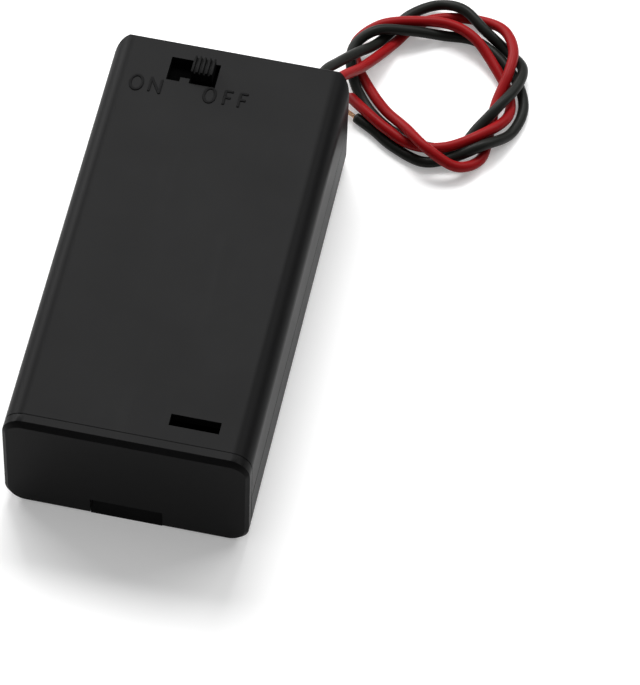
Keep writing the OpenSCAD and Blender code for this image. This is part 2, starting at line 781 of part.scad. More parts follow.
module lead_red() { color("crimson") tube(red_route, lead_d, tube_sides); }

module lead_black() { color([0.13, 0.14, 0.13]) tube(black_route, lead_d, tube_sides); }

// The stripped end of a lead: the strands, straight on from its last point
module strands(route) {
    last = route[len(route) - 1];
    along = unit(last - route[len(route) - 2]);
    tip = last + strand_l * [along[0], along[1], 0];
    color("peru") tube([last + strand_gap * unit(tip - last), tip], strand_d, tube_sides);
}

module strands_red() { strands(red_route); }

module strands_black() { strands(black_route); }

case_body();
cover();
cover_screw();
switch_slider();
switch_wiper();
switch_base();
switch_contact_in();
switch_contact_out();
front_jumper();
front_spring();
positive_plate();
negative_plate();
rear_spring();
link_wire();
solder_positive();
solder_switch_in();
solder_switch_out();
solder_negative();
lead_red();
lead_black();
strands_red();
strands_black();
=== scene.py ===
"""Looks of a moulded holder for two cells, with its switch, its leads and a pale table.

Each sub-assembly below dresses its own solids, or puts a finer piece in their place. Lengths are
in metres; millimetre values are written times MM.
"""

import logging
import math
from dataclasses import dataclass
from enum import Enum
from functools import cache

import bmesh
import bpy
import numpy as np
from mathutils import Matrix, Vector

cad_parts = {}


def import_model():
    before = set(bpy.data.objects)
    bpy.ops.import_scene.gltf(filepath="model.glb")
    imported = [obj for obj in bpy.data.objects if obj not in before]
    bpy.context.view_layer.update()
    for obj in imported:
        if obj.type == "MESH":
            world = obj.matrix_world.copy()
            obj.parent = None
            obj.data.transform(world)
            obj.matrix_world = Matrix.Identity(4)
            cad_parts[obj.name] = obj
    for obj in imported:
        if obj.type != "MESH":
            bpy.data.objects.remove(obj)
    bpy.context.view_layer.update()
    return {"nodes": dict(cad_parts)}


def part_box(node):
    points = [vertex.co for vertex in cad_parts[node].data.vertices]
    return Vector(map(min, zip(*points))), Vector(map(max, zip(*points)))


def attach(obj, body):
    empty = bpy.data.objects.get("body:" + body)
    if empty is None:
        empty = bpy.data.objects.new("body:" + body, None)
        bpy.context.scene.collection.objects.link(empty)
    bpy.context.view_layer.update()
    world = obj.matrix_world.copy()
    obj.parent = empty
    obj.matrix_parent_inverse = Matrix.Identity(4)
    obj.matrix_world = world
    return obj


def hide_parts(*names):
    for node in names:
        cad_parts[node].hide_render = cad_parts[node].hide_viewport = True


LOG = logging.getLogger("cell_holder")
MM = 0.001
UP = np.array([0.0, 0.0, 1.0])
Socket = bpy.types.NodeSocket
Triple = tuple[float, float, float]
Arrays = tuple[np.ndarray, np.ndarray]
LetterPlace = tuple[str, float, float]
# Points of a solid that are this close are one point, and faces that bend less are one face
MERGE = 0.002 * MM
FLAT = math.radians(0.6)
# Edges that bend more than this are rounded, in this many steps
SHARP = math.radians(28)
ROUNDING_STEPS = 2
# Full weight for the faces' sizes, so that a large face keeps its own shading
LARGE_FACE_WEIGHT = 100
# How far a point may lie off the surface that it is looked up on
SLACK = 0.01 * MM
# Cubic steps between two points of a route
SPLINE_STEPS = 32
# A path whose heading is this much upright is guided by X instead of UP
STEEP = 0.9


class Body(Enum):
    """The rigid bodies of the frame that a piece can ride on."""

    CASE = "case"
    SLIDER = "slider"
    COVER = "cover"


class Slot(Enum):
    """The record's material slots."""

    CASE = "case_plastic"
    COVER = "cover_plastic"
    SLIDER = "slider_plastic"
    BOARD = "base_board"
    SCREW = "screw_steel"
    PLATE = "plated_steel"
    SPRING = "spring_steel"
    BRONZE = "contact_bronze"
    SOLDER = "solder"
    RED = "lead_red_skin"
    BLACK = "lead_black_skin"
    COPPER = "copper"


# ---- Surfaces ----


def add_object(name: str, data: bpy.types.ID) -> bpy.types.Object:
    """Puts a mesh, lamp or camera into the scene.

    Args:
        name: name of the object.
        data: its mesh, lamp or camera.

    Returns:
        The new object, at the origin.
    """
    made = bpy.data.objects.new(name, data)
    bpy.context.scene.collection.objects.link(made)
    return made


def make_mesh(name: str, points: np.ndarray, faces: np.ndarray) -> bpy.types.Object:
    """Puts arrays of points and faces into a new object at the origin.

    Args:
        name: name of the piece.
        points: N by 3 array, in metres.
        faces: M by 3 or M by 4 array of point numbers, wound so that the faces point outwards.

    Returns:
        The new object, linked to the scene and shaded smooth.
    """
    mesh = bpy.data.meshes.new(name)
    count, corners = faces.shape
    mesh.vertices.add(len(points))
    mesh.vertices.foreach_set("co", points.astype(np.float32).ravel())
    mesh.loops.add(count * corners)
    mesh.loops.foreach_set("vertex_index", faces.astype(np.int32).ravel())
    mesh.polygons.add(count)
    mesh.polygons.foreach_set("loop_start", np.arange(0, count * corners, corners, dtype=np.int32))
    mesh.polygons.foreach_set("use_smooth", np.ones(count, bool))
    mesh.update(calc_edges=True)
    mesh.validate()
    return add_object(name, mesh)


def read_points(mesh: bpy.types.Mesh) -> np.ndarray:
    """Takes the points out of a mesh.

    Args:
        mesh: the mesh.

    Returns:
        N by 3 array of its points, in metres.
    """
    points = np.empty(len(mesh.vertices) * 3, np.float32)
    mesh.vertices.foreach_get("co", points)
    return points.reshape(-1, 3)


def write_points(mesh: bpy.types.Mesh, points: np.ndarray) -> None:
    """Puts changed points back into their mesh."""
    mesh.vertices.foreach_set("co", points.ravel())
    mesh.update()


def grid_faces(rings: int, sides: int) -> np.ndarray:
    """Quads between rings of points that lie one after another along a path.

    The quad at ring i and side k joins points k and k + 1 of that ring to those of ring i + 1.

    Args:
        rings: number of rings.
        sides: points in one ring.

    Returns:
        Array of quads, wound outwards where the rings turn with the right hand along the path.
    """
    i, k = np.meshgrid(np.arange(rings - 1), np.arange(sides), indexing="ij")
    j, m = i + 1, (k + 1) % sides
    quads = np.stack([i * sides + k, i * sides + m, j * sides + m, j * sides + k], -1)
    return quads.reshape(-1, 4)


def unit(vectors: np.ndarray) -> np.ndarray:
    """Vectors scaled to length one along the last axis."""
    return vectors / np.linalg.norm(vectors, axis=-1, keepdims=True)


def lengths_along(path: np.ndarray) -> np.ndarray:
    """Distance of each point of a path from its start, as the running sum of its steps."""
    return np.concatenate([[0], np.cumsum(np.linalg.norm(np.diff(path, axis=0), axis=1))])


def points_at(path: np.ndarray, run: np.ndarray, where: np.ndarray) -> np.ndarray:
    """Points on a path, given the distances of its own points and of the wanted ones."""
    return np.stack([np.interp(where, run, column) for column in path.T], axis=1)


def smooth_path(points: np.ndarray, step: float) -> np.ndarray:
    """A Catmull-Rom spline through the points, sampled about evenly.

    Between two points the spline is a cubic whose slope at each is half the vector between
    that point's neighbours.

    Args:
        points: N by 3 array of the points on the way.
        step: distance between samples, in metres.

    Returns:
        Array of samples that starts and ends on the end points.
    """
    padded = np.vstack([points[:1], points, points[-1:]])
    t = np.linspace(0, 1, SPLINE_STEPS, endpoint=False)[:, None]
    a, b, c, d = (padded[k : len(points) - 1 + k, None, :] for k in range(4))
    curve = b + 0.5 * (t * (c - a) + t**2 * (2 * a - 5 * b + 4 * c - d) + t**3 * (3 * (b - c) + d - a))
    dense = np.vstack([curve.reshape(-1, 3), points[-1:]])
    run = lengths_along(dense)
    return points_at(dense, run, np.linspace(0, run[-1], max(int(run[-1] / step), 2) + 1))


def across_path(path: np.ndarray) -> Arrays:
    """Two directions square to a path at each sample, with no needless twist.

    The first direction is square to the heading and to a guide at the start. From there, each
    sample's is the last one's, less its part along the new heading. The second is square to the
    first and to the heading.

    Args:
        path: N by 3 array of samples.

    Returns:
        The first directions and the second ones.
    """
    heading = unit(np.gradient(path, axis=0))
    side = np.empty_like(heading)
    guide = [1.0, 0.0, 0.0] if abs(heading[0] @ UP) >= STEEP else UP
    side[0] = unit(np.cross(heading[0], guide))
    for i in range(1, len(path)):
        side[i] = unit(side[i - 1] - heading[i] * (side[i - 1] @ heading[i]))
    return side, np.cross(heading, side)


def tube_arrays(path: np.ndarray, radii: np.ndarray, sides: int) -> Arrays:
    """A round tube along a path, its ends closed by a fan round a middle point.

    Each ring is the path's point plus radius times (cos a, sin a) in the two directions
    across the path.

    Args:
        path: N by 3 array of samples.
        radii: radius at each sample.
        sides: points in one ring.

    Returns:
        Points and triangles.
    """
    side, third = across_path(path)
    angle = np.linspace(0, 2 * math.pi, sides, endpoint=False)[None, :, None]
    rings = path[:, None] + radii[:, None, None] * (
        np.cos(angle) * side[:, None] + np.sin(angle) * third[:, None]
    )
    points = np.vstack([rings.reshape(-1, 3), path[:1], path[-1:]])
    quads = grid_faces(len(path), sides)
    k = np.arange(sides)
    last = (len(path) - 1) * sides
    head, tail = len(points) - 2, len(points) - 1
    caps = np.vstack(
        [
            np.stack([k, np.full(sides, head), (k + 1) % sides], -1),
            np.stack([last + k, last + (k + 1) % sides, np.full(sides, tail)], -1),
        ]
    )
    triangles = np.vstack([quads[:, [0, 1, 2]], quads[:, [0, 2, 3]], caps])
    return points, triangles


def join_arrays(parts: list[Arrays]) -> Arrays:
    """Joins several shapes, with their faces renumbered.

    Args:
        parts: points and faces of each shape.

    Returns:
        Points and faces of them all.
    """
    starts = np.cumsum([0] + [len(points) for points, _ in parts[:-1]])
    faces = [faces + start for (_, faces), start in zip(parts, starts)]
    return np.vstack([points for points, _ in parts]), np.vstack(faces)


def softened_copy(node: bpy.types.Object, name: str, width: float) -> bpy.types.Object:
    """A copy of a solid with its sharp edges rounded, as a mould leaves them.

    Args:
        node: the solid as the frame has it.
        name: name of the new piece.
        width: width of the rounding, in metres.

    Returns:
        The new object.
    """
    shape = bmesh.new()
    shape.from_mesh(node.data)
    bmesh.ops.remove_doubles(shape, verts=shape.verts, dist=MERGE)
    bmesh.ops.dissolve_limit(shape, angle_limit=FLAT, verts=shape.verts, edges=shape.edges)
    mesh = bpy.data.meshes.new(name)
    shape.to_mesh(mesh)
    shape.free()
    mesh.polygons.foreach_set("use_smooth", np.ones(len(mesh.polygons), bool))
    made = add_object(name, mesh)
    rounding = made.modifiers.new("rounding", "BEVEL")
    rounding.width = width
    rounding.segments = ROUNDING_STEPS
    rounding.limit_method = "ANGLE"
    rounding.angle_limit = SHARP
    rounding.use_clamp_overlap = True
    evened = made.modifiers.new("evened", "WEIGHTED_NORMAL")
    evened.mode = "FACE_AREA"
    evened.weight = LARGE_FACE_WEIGHT
    return made


# ---- Finishes ----


class NodeBoard:
    """A shader node tree with short calls for adding and joining nodes."""

    def __init__(self, tree: bpy.types.NodeTree) -> None:
        """Keeps the tree and empties it."""
        self.tree = tree
        tree.nodes.clear()

    def add(self, kind: str, inputs: dict | None = None, **settings: object) -> bpy.types.Node:
        """Adds a node.

        Args:
            kind: the node's type name.
            inputs: socket name or number to a value, or to the output that feeds it.
            **settings: attributes of the node.

        Returns:
            The new node.
        """
        node = self.tree.nodes.new(kind)
        for key, value in settings.items():
            setattr(node, key, value)
        for key, value in (inputs or {}).items():
            if isinstance(value, Socket):
                self.tree.links.new(value, node.inputs[key])
            else:
                node.inputs[key].default_value = value
        return node


def new_group(name: str, inputs: dict[str, float], outputs: list[str]) -> tuple[NodeBoard, bpy.types.Node]:
    """Starts a shader node group with plain number inputs and outputs.

    Args:
        name: name of the group.
        inputs: name of each number input and its usual value.
        outputs: names of the number outputs.

    Returns:
        The board to build on and the group's input node.
    """
    tree = bpy.data.node_groups.new(name, "ShaderNodeTree")
    for label, value in inputs.items():
        socket = tree.interface.new_socket(label, in_out="INPUT", socket_type="NodeSocketFloat")
        socket.default_value = value
    for label in outputs:
        tree.interface.new_socket(label, in_out="OUTPUT", socket_type="NodeSocketFloat")
    board = NodeBoard(tree)
    return board, board.add("NodeGroupInput")


@cache
def grain_group() -> bpy.types.NodeTree:
    """Spark-eroded mould texture: a fine pebble height, and a slow mottle from the flow.

    Returns:
        The group, with the sizes of both noises as inputs.
    """
    board, given = new_group("mould_grain", {"Fineness": 6000.0, "Flow": 90.0}, ["Height", "Mottle"])
    place = board.add("ShaderNodeTexCoord").outputs["Object"]
    pebble = board.add(
        "ShaderNodeTexNoise",
        {"Vector": place, "Scale": given.outputs["Fineness"], "Detail": 2.0, "Roughness": 0.6},
    )
    slow = board.add(
        "ShaderNodeTexNoise",
        {"Vector": place, "Scale": given.outputs["Flow"], "Detail": 4.0, "Roughness": 0.55},
    )
    board.add("NodeGroupOutput", {"Height": pebble.outputs["Fac"], "Mottle": slow.outputs["Fac"]})
    return board.tree


@cache
def rub_group() -> bpy.types.NodeTree:
    """Handling marks: sparse short streaks, from noise drawn out along one way.

    Returns:
        The group, with the streaks' size and their stretch as inputs.
    """
    board, given = new_group("handling_rub", {"Size": 120.0, "Stretch": 0.08}, ["Streaks"])
    place = board.add("ShaderNodeTexCoord").outputs["Object"]
    factor = board.add("ShaderNodeCombineXYZ", {"X": 1.0, "Y": given.outputs["Stretch"], "Z": 1.0})
    drawn = board.add("ShaderNodeVectorMath", {0: place, 1: factor.outputs[0]}, operation="MULTIPLY")
    streak = board.add(
        "ShaderNodeTexNoise",
        {"Vector": drawn.outputs[0], "Scale": given.outputs["Size"], "Detail": 5.0, "Roughness": 0.7},
    )
    kept = board.add(
        "ShaderNodeMapRange", {"Value": streak.outputs["Fac"], "From Min": 0.58, "From Max": 0.8}
    )
    board.add("NodeGroupOutput", {"Streaks": kept.outputs[0]})
    return board.tree


def scaled(board: NodeBoard, value: Socket, low: Socket | float, high: Socket | float) -> Socket:
    """Maps a 0 to 1 value to low to high."""
    return board.add("ShaderNodeMapRange", {"Value": value, "To Min": low, "To Max": high}).outputs[0]


def blended(board: NodeBoard, value: Socket, low: Socket | Triple, high: Socket | Triple) -> Socket:
    """Mixes two colours, plain or from an output, by a 0 to 1 value."""
    low, high = (c if isinstance(c, Socket) else (*c, 1.0) for c in (low, high))
    return board.add("ShaderNodeMix", {0: value, 6: low, 7: high}, data_type="RGBA").outputs[2]


def raised(board: NodeBoard, height: Socket, strength: float, distance: float) -> Socket:
    """Turns a height into a bumped normal."""
    bump = board.add("ShaderNodeBump", {"Height": height, "Strength": strength, "Distance": distance})
    return bump.outputs[0]


@dataclass(frozen=True)
class Finish:
    """A procedural material in two shades."""

    name: str
    dark: Triple
    light: Triple
    roughness: float

    def build(self) -> bpy.types.Material:
        """Makes the material.

        Returns:
            The new material.
        """
        material = bpy.data.materials.new(self.name)
        material.use_nodes = True
        board = NodeBoard(material.node_tree)
        skin = board.add("ShaderNodeBsdfPrincipled", self.skin(board))
        board.add("ShaderNodeOutputMaterial", {"Surface": skin.outputs[0]})
        return material

    def skin(self, board: NodeBoard) -> dict[str, Socket | float]:
        """Builds the textures. Each finish has its own."""
        raise NotImplementedError


@dataclass(frozen=True)
class MouldedPlastic(Finish):
    """Satin moulding with a fine sparked texture and a slight mottle.

    Where heights for painted shade are given, the colour is painted dark and the finish made fully rough
    below the first height, as painted shade for a part that lies deep inside another. Above the second
    height the finish is the moulding's own.
    """

    roughness: float = 0.42
    reflect: float = 0.047
    # Heights below which the colour is painted shade, and above which it is the moulding's own
    painted_shade_heights: tuple[float, float] | None = None
    uneven: float = 0.05
    rubbed: float = 0.07
    fineness: float = 5200.0
    relief: float = 0.5
    grain_height: float = 0.004 * MM
    # Colour of the painted shade
    painted_shade_colour: Triple = (0.0006, 0.0006, 0.0006)

    def skin(self, board: NodeBoard) -> dict[str, Socket | float]:
        """The mottle sways colour and roughness, and handling marks are smoother. Where heights are given,
        the colour low down is painted shade.

        Args:
            board: the material's nodes.

        Returns:
            What goes into the Principled shader.
        """
        grain = board.add("ShaderNodeGroup", {"Fineness": self.fineness}, node_tree=grain_group())
        marks = board.add("ShaderNodeGroup", node_tree=rub_group()).outputs["Streaks"]
        mottle = grain.outputs["Mottle"]
        satin = scaled(board, mottle, self.roughness - self.uneven, self.roughness + self.uneven)
        dull = board.add(
            "ShaderNodeMath", {0: marks, 1: -self.rubbed, 2: satin}, operation="MULTIPLY_ADD"
        ).outputs[0]
        colour = blended(board, mottle, self.dark, self.light)
        # Painted shade: darker and fully rough towards the bottom of the part
        if self.painted_shade_heights:
            unshaded = self.unshaded_share(board)
            colour = blended(board, unshaded, self.painted_shade_colour, colour)
            dull = scaled(board, unshaded, 1.0, dull)
        return {
            "Base Color": colour,
            "Roughness": dull,
            "Normal": raised(board, grain.outputs["Height"], self.relief, self.grain_height),
            "Specular IOR Level": self.reflect,
        }

    def unshaded_share(self, board: NodeBoard) -> Socket:
        """A value that rises from 0 at the first painted shade height to 1 at the second, where 0 is full
        painted shade.

        Args:
            board: the material's nodes.

        Returns:
            The output that gives it.
        """
        place = board.add("ShaderNodeTexCoord").outputs["Object"]
        height = board.add("ShaderNodeSeparateXYZ", {"Vector": place}).outputs["Z"]
        low, high = self.painted_shade_heights
        ramp = board.add("ShaderNodeMapRange", {"Value": height, "From Min": low, "From Max": high})
        return ramp.outputs[0]


@dataclass(frozen=True)
class LeadSkin(Finish):
    """Soft smooth insulation with a waxy sheen and faint drawing marks."""

    roughness: float = 0.44
    reflect: float = 0.1
    uneven: float = 0.06
    fineness: float = 2600.0
    flow: float = 240.0
    relief: float = 0.35
    grain_height: float = 0.004 * MM

    def skin(self, board: NodeBoard) -> dict[str, Socket | float]:
        """The mottle sways colour and roughness.

        Args:
            board: the material's nodes.

        Returns:
            What goes into the Principled shader.
        """
        given = {"Fineness": self.fineness, "Flow": self.flow}
        grain = board.add("ShaderNodeGroup", given, node_tree=grain_group())
        mottle = grain.outputs["Mottle"]
        return {
            "Base Color": blended(board, mottle, self.dark, self.light),
            "Roughness": scaled(board, mottle, self.roughness - self.uneven, self.roughness + self.uneven),
            "Normal": raised(board, grain.outputs["Height"], self.relief, self.grain_height),
            "Specular IOR Level": self.reflect,
        }


@dataclass(frozen=True)
class DrawnMetal(Finish):
    """Plated or bare metal with fine drawing lines and a slow tarnish."""

    roughness: float = 0.28
    bright: float = 0.05
    tarnish: float = 0.08
    worn: float = 0.15
    flow: float = 320.0
    line_size: float = 1600.0
    line_stretch: float = 0.03
    relief: float = 0.3
    line_depth: float = 0.003 * MM

    def skin(self, board: NodeBoard) -> dict[str, Socket | float]:
        """The tarnish sways colour and roughness, and the drawing lines are rougher.

        Args:
            board: the material's nodes.

        Returns:
            What goes into the Principled shader.
        """
        mottle = board.add("ShaderNodeGroup", {"Flow": self.flow}, node_tree=grain_group()).outputs["Mottle"]
        drawn = {"Size": self.line_size, "Stretch": self.line_stretch}
        lines = board.add("ShaderNodeGroup", drawn, node_tree=rub_group()).outputs["Streaks"]
        plain = scaled(board, mottle, self.roughness - self.bright, self.roughness + self.tarnish)
        rough = board.add("ShaderNodeMath", {0: lines, 1: self.worn, 2: plain}, operation="MULTIPLY_ADD")
        return {
            "Base Color": blended(board, mottle, self.dark, self.light),
            "Metallic": 1.0,
            "Roughness": rough.outputs[0],
            "Normal": raised(board, lines, self.relief, self.line_depth),
        }


@dataclass(frozen=True)
class Laminate(Finish):
    """Phenolic paper board with fine fibres."""

    roughness: float = 0.5
    uneven: float = 0.1
    fibre_size: float = 2400.0
    fibre_stretch: float = 0.2
    relief: float = 0.4
    fibre_depth: float = 0.01 * MM

    def skin(self, board: NodeBoard) -> dict[str, Socket | float]:
        """The fibres sway colour, roughness and height.

        Args:
            board: the material's nodes.

        Returns:
            What goes into the Principled shader.
        """
        given = {"Size": self.fibre_size, "Stretch": self.fibre_stretch}
        fibres = board.add("ShaderNodeGroup", given, node_tree=rub_group()).outputs["Streaks"]
        return {
            "Base Color": blended(board, fibres, self.dark, self.light),
            "Roughness": scaled(board, fibres, self.roughness - self.uneven, self.roughness + self.uneven),
            "Normal": raised(board, fibres, self.relief, self.fibre_depth),
        }


CASE_BLACK = ((0.0042, 0.0042, 0.0044), (0.0065, 0.0065, 0.0067))
# Heights between which the slider goes from painted shade, deep in the case's opening, to its own finish as
# it comes out of the case
SLIDER_SHADE_HEIGHTS = (18.2 * MM, 19.4 * MM)
FINISHES = {
    Slot.CASE: MouldedPlastic("case_black", *CASE_BLACK),
    Slot.COVER: MouldedPlastic("cover_black", (0.0042, 0.0042, 0.0044), (0.0068, 0.0068, 0.007)),
    Slot.SLIDER: MouldedPlastic(
        "slider_black_painted_shade",
        (0.004, 0.004, 0.004),
        (0.006, 0.006, 0.006),
        roughness=0.44,
        reflect=0.04,
        painted_shade_heights=SLIDER_SHADE_HEIGHTS,
    ),
    Slot.BOARD: Laminate("brown_laminate", (0.16, 0.075, 0.03), (0.3, 0.16, 0.075)),
    Slot.SCREW: DrawnMetal("zinc_plate", (0.52, 0.52, 0.53), (0.68, 0.68, 0.66)),
    Slot.PLATE: DrawnMetal("nickel_plate", (0.6, 0.59, 0.56), (0.72, 0.71, 0.67), roughness=0.22),
    Slot.SPRING: DrawnMetal("spring_wire", (0.56, 0.56, 0.55), (0.7, 0.69, 0.67), roughness=0.2),
    Slot.BRONZE: DrawnMetal("phosphor_bronze", (0.6, 0.38, 0.16), (0.74, 0.52, 0.26), roughness=0.26),
    Slot.SOLDER: DrawnMetal("solder_tin", (0.55, 0.55, 0.56), (0.72, 0.72, 0.72), roughness=0.24),
    Slot.RED: LeadSkin("red_insulation", (0.205, 0.0022, 0.0034), (0.26, 0.0045, 0.006)),
    Slot.BLACK: LeadSkin(
        "black_insulation", (0.0075, 0.0085, 0.007), (0.0125, 0.0135, 0.012), roughness=0.42
    ),
    Slot.COPPER: DrawnMetal("bare_copper", (0.62, 0.36, 0.2), (0.8, 0.52, 0.32), roughness=0.3),
}


class Workshop:
    """Holds the frame's solids and the finishes, and seats each piece on its body."""

    def __init__(self, nodes: dict[str, bpy.types.Object]) -> None:
        """Keeps the solids and makes one material for each slot."""
        self.nodes = nodes
        self.materials = {slot: finish.build() for slot, finish in FINISHES.items()}

    def dress(self, node: str, slot: Slot) -> None:
        """Gives a solid that stays its finish.

        Args:
            node: name of the solid.
            slot: the finish.
        """
        mesh = self.nodes[node].data
        mesh.materials.clear()
        mesh.materials.append(self.materials[slot])
        LOG.info("%s wears %s", node, self.materials[slot].name)

    def seat(
        self,
        piece: bpy.types.Object,
        body: Body,
        slot: Slot,
        replaced: tuple[str, ...] = (),
        finish: bpy.types.Material | None = None,
    ) -> None:
        """Gives a new piece its finish and its body.

        Args:
            piece: the finished object, at the origin.
            body: the body that it rides on.
            slot: the slot that its finish comes from.
            replaced: names of the solids that it stands for.
            finish: its own version of that finish, if it has one.
        """
        piece.data.materials.append(finish or self.materials[slot])
        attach(piece, body.value)
        if replaced:
            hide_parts(*replaced)
        LOG.info("%s rides on %s", piece.name, body.value)


# ---- The holder ----


@dataclass
class Lettering:
    """The moulded ON and OFF beside the switch, as low ridges with flat tops.

    Each place is a letter, its left side and its width, both in millimetres.
    """

    top: float
    foot_y: float = 24.82 * MM
    cap: float = 3.0 * MM
    stroke: float = 0.42 * MM
    rise: float = 0.12 * MM
    squareness: float = 0.45
    step: float = 0.05 * MM
    sides: int = 16
    round_steps: int = 64
    bar_height: float = 0.54
    bar_width: float = 0.82
    least_swell: float = 0.001
    on_places: tuple[LetterPlace, ...] = (("O", -13.8, 2.2), ("N", -10.9, 2.0))
    off_places: tuple[LetterPlace, ...] = (("O", -2.9, 2.05), ("F", 0.1, 1.6), ("F", 2.3, 1.6))
    finish: Finish = MouldedPlastic("coarse_case_black", *CASE_BLACK, roughness=0.5, reflect=0.036)

    def strokes(self, letter: str) -> list[np.ndarray]:
        """The letter's centre lines in a unit box.

        O is a circle about the middle of the box, and the others are straight strokes.

        Args:
            letter: O, N or F.

        Returns:
            Array of corner points for each stroke.
        """
        if letter == "O":
            angle = np.linspace(0, 2 * math.pi, self.round_steps + 1)
            return [0.5 + 0.5 * np.stack([np.cos(angle), np.sin(angle)], 1)]
        if letter == "N":
            return [np.array([[0, 0], [0, 1], [1, 0], [1, 1]], float)]
        bar = [[0, self.bar_height], [self.bar_width, self.bar_height]]
        return [np.array([[1, 1], [0, 1], [0, 0]], float), np.array(bar)]

    def ridge(self, corners: np.ndarray) -> Arrays:
        """A low ridge along a flat path.

        Each ring is a squared ellipse, stroke wide and rise high: the cosine and the sine of
        the angle round it, each raised to the squareness with its sign kept. Towards an open
        end the rings shrink along a quarter circle.

        Args:
            corners: N by 2 array of the path, in metres.

        Returns:
            Points and faces of the ridge.
        """
        run = lengths_along(corners)
        even = np.linspace(0, run[-1], int(run[-1] / self.step) + 2)
        flat = points_at(corners, run, even)
        half = self.stroke / 2
        closed = np.allclose(corners[0], corners[-1])
        near = np.full(len(even), half) if closed else np.minimum(even, run[-1] - even)
        swell = np.sqrt(np.clip(1 - (1 - np.clip(near / half, 0, 1)) ** 2, self.least_swell, 1))
        along = unit(np.gradient(flat, axis=0))
        across = np.stack([-along[:, 1], along[:, 0], np.zeros(len(flat))], axis=1)
        path = np.column_stack([flat, np.full(len(flat), self.top)])
        angle = np.linspace(0, 2 * math.pi, self.sides, endpoint=False)[None, :, None]
        wide, high = (np.sign(x) * np.abs(x) ** self.squareness for x in (np.cos(angle), np.sin(angle)))
        ring = half * wide * across[:, None] + self.rise * high * UP
        points = path[:, None] + swell[:, None, None] * ring
        return points.reshape(-1, 3), grid_faces(len(flat), self.sides)[:, ::-1]

    def word(self, name: str, places: tuple[LetterPlace, ...]) -> bpy.types.Object:
        """Builds one word.

        Args:
            name: name of the piece.
            places: its letters' places.

        Returns:
            The new object.
        """
        parts = []
        inner = np.array([self.stroke, self.stroke]) / 2
        for letter, left, width in places:
            corner = np.array([left * MM, self.foot_y]) + inner
            size = np.array([width * MM, self.cap]) - 2 * inner
            parts += [self.ridge(corner + line * size) for line in self.strokes(letter)]
        return make_mesh(name, *join_arrays(parts))

    def build(self, shop: Workshop) -> None:
        """Seats both words on the case, in a slightly coarser finish than its own.

        Args:
            shop: seats them.
        """
        coarse = self.finish.build()
        shop.seat(self.word("word_on", self.on_places), Body.CASE, Slot.CASE, finish=coarse)
        shop.seat(self.word("word_off", self.off_places), Body.CASE, Slot.CASE, finish=coarse)


@dataclass
class FrontEdge:
    """The front end of the case: the bevel round its face, and the fine groove behind it.

    The solid's sizes come first, and then how far each form is moved.
    """

    corner: float = 3.0 * MM
    bevel: float = 0.4 * MM
    groove_at: float = 1.75 * MM
    groove_width: float = 0.18 * MM
    groove_deep: float = 0.14 * MM
    rim_top: float = 0.5 * MM
    rim_side: float = 0.15 * MM
    rim_back: float = 0.2 * MM
    groove_kept: float = 0.07 * MM

    def ease(self, body: bpy.types.Object) -> None:
        """Widens the bevel and makes the groove shallower.

        Across the case, a point's radius is its distance from a core box that stands in from
        the outside by the corner radius. The bevel's front rim moves in along that radius, by
        more at the top than at the sides, its back rim moves back at the top, and the groove's
        floor moves out. The shares of top and side are the squares of the radius' direction.

        Args:
            body: the case's new piece.
        """
        low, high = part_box("case_body")
        points = read_points(body.data)
        across = points[:, ::2]
        reach = high.x - self.corner
        core = np.clip(across, (-reach, low.z + self.corner), (reach, high.z - self.corner))
        radius = np.linalg.norm(across - core, axis=1)
        out = (across - core) / np.maximum(radius, MERGE)[:, None]
        sideways, upward = out[:, 0] ** 2, np.maximum(out[:, 1], 0.0) ** 2
        behind = points[:, 1] - low.y
        depth = self.corner - radius
        in_groove = np.abs(behind - self.groove_at - self.groove_width / 2) < self.groove_width
        rim = (behind < SLACK) & (np.abs(depth - self.bevel) < SLACK)
        brow = (np.abs(behind - self.bevel) < SLACK) & (np.abs(depth) < SLACK)
        floor = in_groove & (np.abs(depth - self.groove_deep) < SLACK)
        LOG.info("front rim %d, back rim %d, groove %d points", rim.sum(), brow.sum(), floor.sum())
        narrower = np.where(rim, self.rim_side * sideways + self.rim_top * upward, 0.0)
        wider = np.where(floor, self.groove_deep - self.groove_kept, 0.0)
        points[:, ::2] -= out * (narrower - wider)[:, None]
        points[brow, 1] += self.rim_back * upward[brow]
        write_points(body.data, points)


@dataclass
class FrontTongue:
    """The cover's tongue, which closes the notch in the front of the case."""

    reach: float = 6.0 * MM
    toe: float = -0.45 * MM
    head: float = 0.8 * MM
    flare: float = 0.1 * MM

    def lean(self, cover: bpy.types.Object) -> None:
        """Leans the tongue's face back, so that it wedges into its notch.

        A point of the face moves by toe at the foot and by head at the top, evenly between,
        and each side flares out by flare.

        Args:
            cover: the cover's new piece.
        """
        points = read_points(cover.data)
        front = points[:, 1].min()
        face = (points[:, 1] < front + SLACK) & (np.abs(points[:, 0]) < self.reach)
        height = points[face, 2]
        points[face, 0] += self.flare * np.sign(points[face, 0])
        points[face, 1] += self.toe + (self.head - self.toe) * height / height.max()
        write_points(cover.data, points)


@dataclass
class Shell:
    """The moulded case, its cover and the cover's screw."""

    shop: Workshop
    rounding: float = 0.11 * MM
    screw_rounding: float = 0.055 * MM

    def build(self) -> None:
        """Rounds the mouldings' edges and adds the lettering."""
        nodes = self.shop.nodes
        body = softened_copy(nodes["case_body"], "case_shell", self.rounding)
        FrontEdge().ease(body)
        self.shop.seat(body, Body.CASE, Slot.CASE, ("case_body",))
        cover = softened_copy(nodes["cover"], "cover_shell", self.rounding)
        FrontTongue().lean(cover)
        self.shop.seat(cover, Body.COVER, Slot.COVER, ("cover",))
        screw = softened_copy(nodes["cover_screw"], "cover_screw_head", self.screw_rounding)
        self.shop.seat(screw, Body.COVER, Slot.SCREW, ("cover_screw",))
        _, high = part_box("case_body")
        Lettering(top=high.z).build(self.shop)


